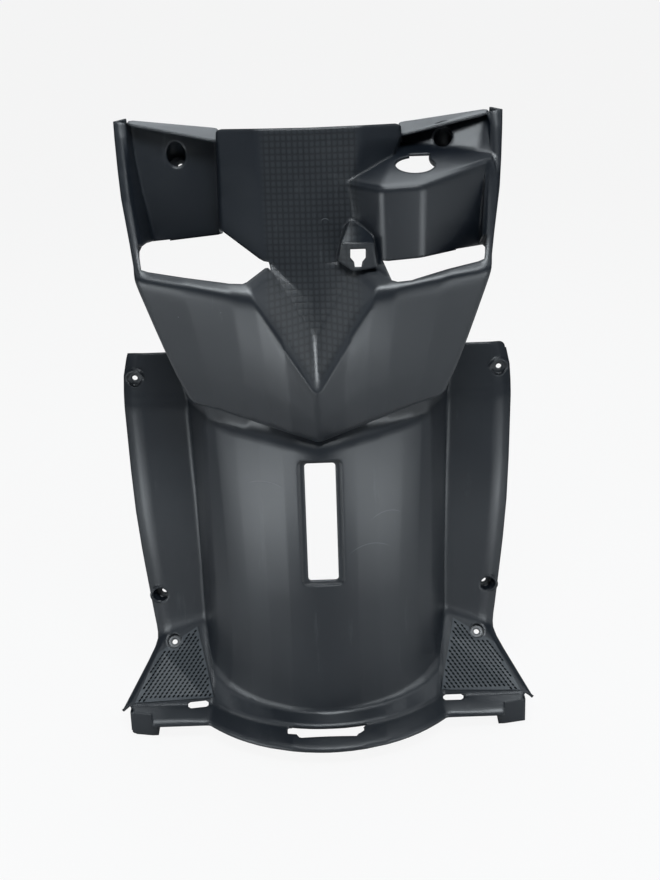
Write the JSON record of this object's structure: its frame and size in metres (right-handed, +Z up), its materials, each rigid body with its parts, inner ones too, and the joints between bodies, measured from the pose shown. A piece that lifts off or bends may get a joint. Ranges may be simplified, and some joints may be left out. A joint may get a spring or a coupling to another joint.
{
  "type": "scooter inner leg shield",
  "caption": "One-piece moulded inner leg shield with steering-column face, pockets, key console, centre tunnel, leg wings and foot pads.",
  "frame": {"origin": "midway between the two upper wing screw holes, which hold the cover", "axes": "+X to the side of the key console, -Y towards the rider, +Z up; +Y along the upper screws towards the front of the scooter"},
  "size_m": [0.4182, 0.177, 0.613],
  "materials": {
    "black_plastic": "fine grain, satin"
  },
  "bodies": {
    "root": {"inner_cover": "black_plastic"}
  },
  "joints": []
}
